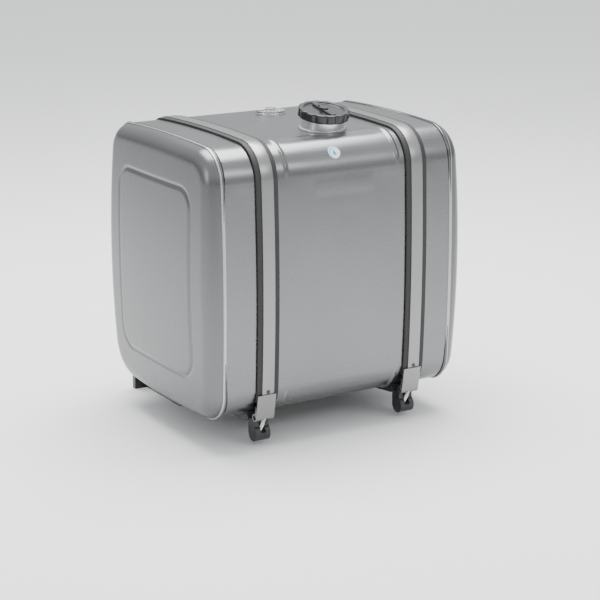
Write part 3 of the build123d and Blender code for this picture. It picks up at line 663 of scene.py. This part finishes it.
end_yz = np.stack([row[0] for row in rows])
end_x = np.stack([row[1] for row in rows])

for side, sign in zip(SIDES, (-1, 1)):
    points = np.stack([sign * end_x, end_yz[..., 0] + CENTRE_Y, end_yz[..., 1] + CENTRE_Z], -1)
    cap = surface("end_pressing_" + side, points, wrap_columns=True, close_end=True)
    thicken(cap, SHELL_WALL)
    # The caps' darker aluminium is painted shade on the end faces.
    finish_piece(cap, "end_cap_" + side, MATERIALS["cap_aluminium"])
print("end cap rows", len(rows), "reach", round(float(end_x.max()), 4))

# %% [markdown]
# ## Welds
#
# A seam weld is a row of overlapping puddles. Carrying a half-oval along the seam and letting its
# height rise and fall once per puddle gives the stacked-coin look without modelling each one.

# %% Seams of the end caps
WELD_HALF_WIDTH = 0.0045
WELD_RISE = 0.002
PUDDLE = 0.0052


def puddles(distance):
    """Height share along a bead: 0.78 + 0.22 |sin(pi d / puddle)|^0.6, steep where puddles meet."""
    return 0.78 + 0.22 * np.abs(np.sin(np.pi * distance / PUDDLE)) ** 0.6


seam_along = np.linspace(0, PERIMETER, 1900, endpoint=False)
oval = np.linspace(0, 2 * math.pi, 10, endpoint=False)
SEAM, TURN = np.meshgrid(seam_along, oval, indexing="ij")
lift = WELD_RISE * np.sin(TURN) * puddles(SEAM)
for side, edge in zip(SIDES, (shell_low[0], shell_high[0])):
    seam_yz = skin(SEAM, lift)[0]
    seam_x = edge + WELD_HALF_WIDTH * np.cos(TURN) * (0.9 + 0.1 * np.sin(SEAM * 900) ** 2)
    bead = surface(
        "seam_" + side, np.concatenate([seam_x[..., None], seam_yz], -1), wrap_rows=True,
        wrap_columns=True
    )
    finish_piece(bead, "end_weld_" + side, MATERIALS["weld_aluminium"])
print("seam puddles", round(PERIMETER / PUDDLE))

# %% Collar weld at the foot of the neck
NECK_RADIUS = 0.049
COLLAR_RADIUS = 0.0042
collar_turn = np.linspace(0, 2 * math.pi, 320, endpoint=False)
COLLAR, TURN = np.meshgrid(collar_turn, oval, indexing="ij")
collar_reach = NECK_RADIUS + 0.0012 + COLLAR_RADIUS * np.cos(TURN)
collar_x = neck_base[0] + collar_reach * np.cos(COLLAR)
collar_y = neck_base[1] + collar_reach * np.sin(COLLAR) * math.cos(NECK_TILT)
crown_z = CENTRE_Z + top_centre[1] + np.sqrt(top_radius ** 2 - (collar_y - CENTRE_Y) ** 2)
collar_z = crown_z + 0.0006 + COLLAR_RADIUS * np.sin(TURN) * puddles(COLLAR * NECK_RADIUS)
collar = surface(
    "neck_collar", np.stack([collar_x, collar_y, collar_z], -1), wrap_rows=True, wrap_columns=True
)
finish_piece(collar, "neck_weld", MATERIALS["weld_aluminium"])
print("collar top", round(float(collar_z.max()), 4))

# %% [markdown]
# ## Straps and their rubber linings
#
# A strap is flat strip steel bent round the vessel. Both it and its lining are a rounded
# rectangle carried along the outline. The strap leaves the lower front corner in a straight tail,
# and at the back it wraps a pin.

# %% Paths of strap and lining
LINER = (0.055, 0.005)
STRAP = (0.030, 0.002)
LEAVE_ANGLE = math.radians(10)
LINER_OVERRUN = math.radians(14)
STRAP_TAIL = 0.042
front_corner = corner_centres["front_bottom"] + (CENTRE_Y, CENTRE_Z)
front_radius = corner_radii["front_bottom"]


def along_at_lean(lean):
    """Distance along the outline where it faces lean below forward, in the lower front corner."""
    return arc_ends[6] + abs(arc_starts[6] - (lean - math.pi)) * arc_radii[6]


def along_at_height(height):
    """Distance along the outline where the rear crown is height above the vessel's middle."""
    return arc_ends[3] + abs(arc_starts[3] - math.asin(height / side_radius)) * arc_radii[3]


def belt_path(start, stop, steps):
    """Path over the front, the top and down the back, closer together in the corners."""
    fine = np.concatenate([around(18, 30), around(18, 30) + PERIMETER])
    stop = stop + PERIMETER
    inside = fine[(fine > start + 0.001) & (fine < stop - 0.001)]
    return skin(np.concatenate([[start], inside, [stop]]))


leave = np.array([-math.cos(LEAVE_ANGLE), -math.sin(LEAVE_ANGLE)])
tail_way = np.array([math.sin(LEAVE_ANGLE), -math.cos(LEAVE_ANGLE)])
tail_runs = np.linspace(STRAP_TAIL, 0.004, 6)[:, None]
tail_path = front_corner + front_radius * leave + tail_runs * tail_way
tail_out = np.broadcast_to(leave, tail_path.shape)
belt, belt_out = belt_path(along_at_lean(LEAVE_ANGLE), along_at_height(0.0), 30)
PIN_EYE_RADIUS = 0.0081
pin = np.array([CENTRE_Y + half_depth + LINER[1] + PIN_EYE_RADIUS, CENTRE_Z])
wrap = math.pi + np.radians(np.linspace(12, 300, 26))
wrap_out = -np.stack([np.cos(wrap), np.sin(wrap)], -1)
wrap_path = pin - (PIN_EYE_RADIUS + LINER[1]) * wrap_out
strap_path = np.concatenate([tail_path, belt, wrap_path])
strap_out = np.concatenate([tail_out, belt_out, wrap_out])
liner_path, liner_out = belt_path(
    along_at_lean(LEAVE_ANGLE + LINER_OVERRUN), along_at_height(0.018), 30
)
strap_profile = rounded_profile(STRAP[0], LINER[1] + 0.00002, LINER[1] + STRAP[1], 0.0007)
liner_profile = rounded_profile(LINER[0], 0.0, LINER[1] - 0.00002, 0.0016)
print("strap path", strap_path.shape, "from", strap_path[0].round(4), "to", strap_path[-1].round(4))

# %% One strap and one lining on each side
strap_x = {side: fitting_centre("strap_" + side)[0] for side in SIDES}
for side in SIDES:
    strap = carry("strip_" + side, strap_path, strap_out, strap_profile, strap_x[side])
    finish_piece(strap, "strap_" + side, MATERIALS["strap_steel"])
    liner = carry("lining_" + side, liner_path, liner_out, liner_profile, strap_x[side])
    finish_piece(liner, "strap_liner_" + side, MATERIALS["liner_rubber"])
print("straps at", strap_x)

# %% [markdown]
# ## T-bolts
#
# A T-bolt is a rod with a crossbar head that lies in the strap's folded eye. Its thread is one
# helix: a wave whose crest moves round the rod once for each pitch travelled.

# %% Threaded rod with a crossbar
BOLT_RADIUS = 0.005
BOLT_LENGTH = 0.069
CROSSBAR = (0.0059, 0.036)
THREAD_PITCH = 0.0015
THREAD_DEPTH = 0.0008
THREAD_START = 0.016


def threaded(turn, run):
    """Radius r - depth (1 - cos(2 pi run / pitch - turn)) / 2 beyond the plain part of the shank."""
    wave = (1 - np.cos(2 * np.pi * run / THREAD_PITCH - turn)) / 2
    fade = ease(run, THREAD_START, THREAD_START + 0.002) * (
        1 - ease(run, BOLT_LENGTH - 0.002, BOLT_LENGTH)
    )
    end = 0.0009 * ease(run, BOLT_LENGTH - 0.0012, BOLT_LENGTH)
    return BOLT_RADIUS - THREAD_DEPTH * wave * fade - end


def joint_named(name):
    return next(joint for joint in frame["joints"] if joint["name"] == name)


run = np.linspace(0.001, BOLT_LENGTH, 280)
turn = np.linspace(0, 2 * math.pi, 24, endpoint=False)
RUN, TURN = np.meshgrid(run, turn, indexing="ij")
rod_reach = threaded(TURN, RUN)
for side in SIDES:
    low, high = (np.array(corner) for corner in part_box("t_bolt_" + side))
    eye = np.array([(low[0] + high[0]) / 2, low[1] + CROSSBAR[0], high[2] - CROSSBAR[0]])
    way = np.array(joint_named("nut_" + side + "_turn")["axis"], float)
    way = way / np.linalg.norm(way)
    way = way if way[2] < 0 else -way
    across = np.cross(way, (1, 0, 0))
    ring_way = np.cos(TURN)[..., None] * (1, 0, 0) + np.sin(TURN)[..., None] * across
    rod = surface(
        "rod_" + side, eye + RUN[..., None] * way + rod_reach[..., None] * ring_way,
        wrap_columns=True, close_start=True, close_end=True
    )
    half = CROSSBAR[1] / 2
    lengths = np.array([-half, -half + 0.0004, -half + 0.0012, half - 0.0012, half - 0.0004, half])
    radii = CROSSBAR[0] - np.array([0.0012, 0.0003, 0, 0, 0.0003, 0.0012])
    bar_turn = np.linspace(0, 2 * math.pi, 32, endpoint=False)
    bar = np.stack(
        np.broadcast_arrays(
            lengths[:, None], radii[:, None] * np.cos(bar_turn), radii[:, None] * np.sin(bar_turn)
        ),
        -1
    )
    head = surface(
        "crossbar_" + side, eye + bar, wrap_columns=True, close_start=True, close_end=True
    )
    for piece in (rod, head):
        finish_piece(piece, "t_bolt_" + side, MATERIALS["bolt_zinc"])
print("bolt way", way.round(4), "eye", eye.round(4))

# %% [markdown]
# ## The filler cap
#
# The cap is moulded in one piece. It is a turned profile whose outer wall is scalloped into
# fourteen wide lobes for a gloved hand, with a shallow dish on top and a grip bar across the dish.

# %% Lobed body
CAP_LOBES = 14
SCALLOP_DEPTH = 0.0034
CAP_PROFILE = np.array([
    (0.0085, 0.0380, 0), (0.0490, 0.0380, 0), (0.0505, 0.0372, 0), (0.0505, 0.0276, 0), (0.0508, 0.0270, 0),
    (0.0560, 0.0270, 0), (
        0.0568, 0.0271, 0.4
    ), (0.0578, 0.0276, 0.8), (0.0584, 0.0286, 1), (0.0585, 0.0310, 1),
    (0.0585, 0.0350, 1), (0.0585, 0.0390, 1), (0.0585, 0.0430, 1), (0.0583, 0.0452, 1), (
        0.0576, 0.0463, 0.95
    ),
    (
        0.0564, 0.0469, 0.8
    ), (0.0545, 0.0470, 0.5), (0.0505, 0.0470, 0.1), (0.0484, 0.0470, 0), (0.0474, 0.0467, 0),
    (0.0466, 0.0460, 0), (0.0461, 0.0448, 0), (0.0456, 0.0437, 0), (0.0446, 0.0431, 0), (0.0430, 0.0430, 0),
    (0.0300, 0.0428, 0), (0.0150, 0.0427, 0), (0.0010, 0.0427, 0),
])
neck_frame = np.array([(1, 0, 0), (0, math.cos(NECK_TILT), math.sin(NECK_TILT)), neck_axis])


def on_neck(points):
    """Points given as (right, rearward, up the neck) from the foot of the neck."""
    return neck_base + points @ neck_frame


def scallop(turn):
    """Narrow valleys between wide lobes: exp(-(d / w)^2), d the angle to the nearest valley."""
    pitch = 2 * math.pi / CAP_LOBES
    away = np.mod(turn, pitch) - pitch / 2
    return np.exp(-(away / (0.17 * pitch)) ** 2)


cap_turn = np.linspace(0, 2 * math.pi, CAP_LOBES * 20, endpoint=False)
reach = CAP_PROFILE[:, :1] - SCALLOP_DEPTH * CAP_PROFILE[:, 2:] * scallop(cap_turn)
height = np.broadcast_to(CAP_PROFILE[:, 1:2], reach.shape)
cap_points = on_neck(np.stack([reach * np.cos(cap_turn), reach * np.sin(cap_turn), height], -1))
cap_body = surface("cap_body", cap_points, wrap_columns=True, close_start=True, close_end=True)
finish_piece(cap_body, "cap_shell", MATERIALS["cap_plastic"], "cap_top")
print("cap grid", cap_points.shape[:2])


# %% Grip bar: a long pillow
def pillow(name, half_width, half_length, bottom, top, corner, crown):
    """Rounded bar: outline |x/a|^n + |y/b|^n = 1 shrinking over an eased shoulder to a flat top."""
    turn = np.linspace(0, 2 * math.pi, 120, endpoint=False)
    shrink = np.array([0, 0, 0, 0.06, 0.2, 0.5, 1.0])
    levels = np.array([0, 0.5, 0.8, 0.9, 0.96, 0.99, 1.0])
    cosine, sine = np.cos(turn), np.sin(turn)
    power = 2 / corner
    x = np.sign(cosine) * np.abs(cosine) ** power
    y = np.sign(sine) * np.abs(sine) ** power
    rim = crown * shrink[:, None]
    points = np.stack([
        (half_width - rim) * x,
        (half_length - rim) * y,
        np.broadcast_to((bottom + (top - bottom) * levels)[:, None], (len(levels), len(turn))),
    ], -1)
    return surface(name, on_neck(points), wrap_columns=True, close_start=True, close_end=True)


grip = pillow("cap_grip", 0.0078, 0.0438, 0.0400, 0.0476, 5.0, 0.0022)
finish_piece(grip, "cap_shell", MATERIALS["cap_plastic"], "cap_top")
print("grip faces", len(grip.data.polygons))

# %% [markdown]
# ## Label
#
# A small round label below the filler says what the tank holds. It is printed film that follows
# the curve of the shell, so the disc is laid out in distances along the skin. A plain blue drop
# inside a pale crescent stands for water.

# %% Disc on the skin
LABEL_RADIUS = 0.015
LABEL_AT = (-0.0065, 0.0478)
label_turn = np.linspace(0, 2 * math.pi, 72, endpoint=False)
label_reach = np.array([0.0005, 0.004, 0.008, 0.012, 0.0145, 0.015, 0.015])
label_off = np.array([0.0003, 0.0003, 0.0003, 0.0003, 0.0003, 0.00022, -0.0002])
REACH, TURN = np.meshgrid(label_reach, label_turn, indexing="ij")
label_x = LABEL_AT[0] + REACH * np.cos(TURN)
label_along = LABEL_AT[1] + REACH * np.sin(TURN)
plain_yz, label_out = skin(label_along)
lift = shell_relief(label_along, label_x, plain_yz[..., 0], plain_yz[..., 1]) + label_off[:, None]
label_points = np.concatenate([label_x[..., None], plain_yz + lift[..., None] * label_out], -1)
label_uv = np.stack([REACH * np.cos(TURN), REACH * np.sin(TURN)], -1) / LABEL_RADIUS
label = surface("water_label", label_points, wrap_columns=True, close_start=True, uv=label_uv)


# %% Printed film
def printed_film():
    """Distances from circles and lines in the label's own coordinates, turned into masks."""
    finish = Finish("label_film")
    place = Wire(finish, finish.node("ShaderNodeUVMap", {"uv_map": "place"}).outputs["UV"])
    parts = finish.node("ShaderNodeSeparateXYZ", None, {"Vector": place})
    x, y = Wire(finish, parts.outputs["X"]), Wire(finish, parts.outputs["Y"])

    def distance(cx, cy, squash=1.0):
        return (((x - cx) * squash) ** 2 + (y - cy) ** 2) ** 0.5

    ring_outer = 1 - distance(0, 0).step(0.90, 0.94)
    ring_inner = distance(0.16, -0.20).step(0.78, 0.82)
    crescent = ring_outer * ring_inner
    bulb = 1 - distance(0.0, -0.18).step(0.27, 0.31)
    height = (y + 0.18) / 0.75
    taper = (1 - height) * 0.27
    slope = (
        1 - ((x * x) ** 0.5 - taper).step(-0.02, 0.02)
    ) * (y + 0.18).step(-0.02, 0.02) * (1 - y.step(0.53, 0.57))
    drop = bulb.math("MAXIMUM", bulb, slope)
    worn = finish.noise((400, 400, 400), 2.0)
    paper = finish.blend(worn, (0.62, 0.66, 0.67), (0.72, 0.75, 0.76))
    tinted = finish.blend(crescent, paper, (0.16, 0.52, 0.60))
    finish.set(
        base_color=finish.blend(drop, tinted, (0.02, 0.30, 0.42)), roughness=0.30 + 0.15 * worn,
        metallic=0.0
    )
    return finish.relief(worn, 0.00004, 0.4).material


label.data.materials.append(printed_film())
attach(label, "vessel")
print("label at", label_points.mean((0, 1)).round(4))

# %% [markdown]
# ## Cast, turned and pressed fittings
#
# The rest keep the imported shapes. A real edge is never perfectly sharp, and on metal that thin
# line of light is what makes it look solid, so each is copied, cleaned and given rounded edges.


# %% Round the edges of a copy
def softened(node, slot, edge, body="vessel", material=None):
    """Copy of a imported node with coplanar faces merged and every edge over 30 degrees rounded."""
    source = frame["nodes"][node]
    mesh = source.data.copy()
    mesh.name = node + "_soft"
    work = bmesh.new()
    work.from_mesh(mesh)
    bmesh.ops.remove_doubles(work, verts=work.verts, dist=0.000002)
    bmesh.ops.dissolve_limit(
        work, angle_limit=math.radians(0.4), use_dissolve_boundaries=False, verts=work.verts, edges=work.edges
    )
    bmesh.ops.recalc_face_normals(work, faces=work.faces)
    work.to_mesh(mesh)
    work.free()
    if mesh.has_custom_normals:
        mesh.attributes.remove(mesh.attributes["custom_normal"])
    mesh.polygons.foreach_set("use_smooth", np.ones(len(mesh.polygons), bool))
    mesh.set_sharp_from_angle(angle=math.radians(32))
    piece = bpy.data.objects.new(node + "_soft", mesh)
    bpy.context.scene.collection.objects.link(piece)
    if edge:
        bevel = piece.modifiers.new("edge", "BEVEL")
        bevel.width = edge
        bevel.segments = 2
        bevel.limit_method = "ANGLE"
        bevel.angle_limit = math.radians(32)
        bevel.use_clamp_overlap = True
        bevel.harden_normals = False
    return finish_piece(piece, node, material or MATERIALS[slot], body)


body_of_node = {
    name: body for body, names in frame["record"]["behaviour"]["bodies"].items() for name in names
}
SOFT = (
    ("strap_eye", "strap_steel", 0.0005),
    ("strap_washer", "fastener_dark", 0.0003),
    ("strap_nut", "fastener_dark", 0.0006),
    ("bracket", "bracket_iron", 0.0014),
    ("bracket_pad", "liner_rubber", 0.0008),
    ("baffle", "shell_aluminium", 0.0),
)
for stem, slot, edge in SOFT:
    for side in SIDES:
        node = stem + "_" + side
        softened(node, slot, edge, body_of_node[node])
SINGLE = (
    ("filler_neck", "neck_aluminium", 0.0006),
    ("sender_port_ring", "neck_aluminium", 0.0006),
    ("sender_gasket", "seal_rubber", 0.0002),
    ("sender_head", "inner_steel", 0.0004),
    ("sender_screws", "inner_steel", 0.0004),
    ("sender_stem", "inner_steel", 0.0003),
    ("sender_stop", "inner_steel", 0.0005),
    ("sender_float", "float_plastic", 0.0012),
    ("drain_boss", "neck_aluminium", 0.0006),
    ("drain_washer", "seal_rubber", 0.0003),
    ("drain_plug", "plug_brass", 0.0008),
    ("outlet_boss", "neck_aluminium", 0.0008),
    ("strap_rivets", "fastener_dark", 0.0004),
    ("anchor_pins", "bolt_zinc", 0.0005),
    ("split_pins", "bolt_zinc", 0.0),
    ("cap_gasket", "seal_rubber", 0.0005),
    ("cap_seal_plate", "inner_steel", 0.0003),
    ("cap_spring", "inner_steel", 0.0),
    ("cap_bayonet", "inner_steel", 0.0005),
    ("lock_barrel", "lock_brass", 0.0002),
    ("key_cover", "cap_plastic", 0.0004),
)
for node, slot, edge in SINGLE:
    softened(node, slot, edge, body_of_node[node])
print("softened", len(SOFT) * 2 + len(SINGLE), "nodes")

# %% [markdown]
# ## Floor, light and camera
#
# Bright metal shows its surroundings more than itself. A pale floor, one wide soft light above
# and a darker horizon give the top its brightness, the front its grey and the corners their bands.

# %% Floor
FLOOR_REACH = 60.0
floor_rings = np.concatenate([[0.01], np.geomspace(0.5, FLOOR_REACH, 14)])
floor_turn = np.linspace(0, 2 * math.pi, 48, endpoint=False)
REACH, TURN = np.meshgrid(floor_rings, floor_turn, indexing="ij")
floor_points = np.stack(
    [REACH * np.cos(TURN), REACH * np.sin(TURN), np.full(REACH.shape, -0.0002)], -1
)
floor = surface("floor", floor_points, wrap_columns=True, close_start=True)
floor_finish = Finish("floor_paint")
floor_clouds = floor_finish.noise((0.8, 0.8, 0.8), 2.0)
floor_finish.set(
    base_color=floor_finish.blend(floor_clouds, (0.86, 0.86, 0.86), (0.90, 0.90, 0.90)),
    roughness=0.85 + 0.1 * (floor_clouds - 0.5)
)
floor.data.materials.append(floor_finish.material)


# %% Lights
def soft_light(name, position, target, width, depth, power):
    """Rectangular area light at position, turned so that it shines towards target."""
    data = bpy.data.lights.new(name, "AREA")
    data.shape = "RECTANGLE"
    data.size = width
    data.size_y = depth
    data.energy = power
    lamp = bpy.data.objects.new(name, data)
    lamp.location = position
    heading = np.array(target, float) - position
    lamp.rotation_euler = math_vector(heading).to_track_quat("-Z", "Y").to_euler()
    bpy.context.scene.collection.objects.link(lamp)
    return lamp


LIT_POINT = (0, 0, 0.4)
soft_light("overhead", (0.2, 0.6, 3.6), LIT_POINT, 3.4, 2.4, 320)
soft_light("left_side", (-4.2, -0.6, 1.9), LIT_POINT, 1.2, 1.6, 20)
soft_light("front_fill", (1.6, -4.6, 3.2), LIT_POINT, 2.4, 1.2, 40)

# %% Sky that brightens upwards
world = bpy.data.worlds.new("studio")
bpy.context.scene.world = world
world.use_nodes = True
sky = world.node_tree
backdrop = sky.nodes["Background"]
direction = sky.nodes.new("ShaderNodeTexCoord")
height = sky.nodes.new("ShaderNodeSeparateXYZ")
ramp = sky.nodes.new("ShaderNodeMapRange")
for key, value in (("From Min", 0.0), ("From Max", 0.45), ("To Min", 0.55), ("To Max", 1.35)):
    ramp.inputs[key].default_value = value
sky.links.new(direction.outputs["Generated"], height.inputs["Vector"])
sky.links.new(height.outputs["Z"], ramp.inputs["Value"])
sky.links.new(ramp.outputs["Result"], backdrop.inputs["Strength"])
backdrop.inputs["Color"].default_value = (0.96, 0.98, 1.0, 1)

# %% Camera
camera_data = bpy.data.cameras.new("camera")
CAMERA_PLACE = (-2.1474, -3.6448, 1.4089)
CAMERA_TARGET = (0.04566, -0.024, 0.25432)
camera_data.lens = 110.76
camera_data.sensor_width = 36.0
camera = bpy.data.objects.new("camera", camera_data)
camera.location = CAMERA_PLACE
gaze = math_vector(CAMERA_TARGET) - camera.location
camera.rotation_euler = gaze.to_track_quat("-Z", "Y").to_euler()
bpy.context.scene.collection.objects.link(camera)
bpy.context.scene.camera = camera
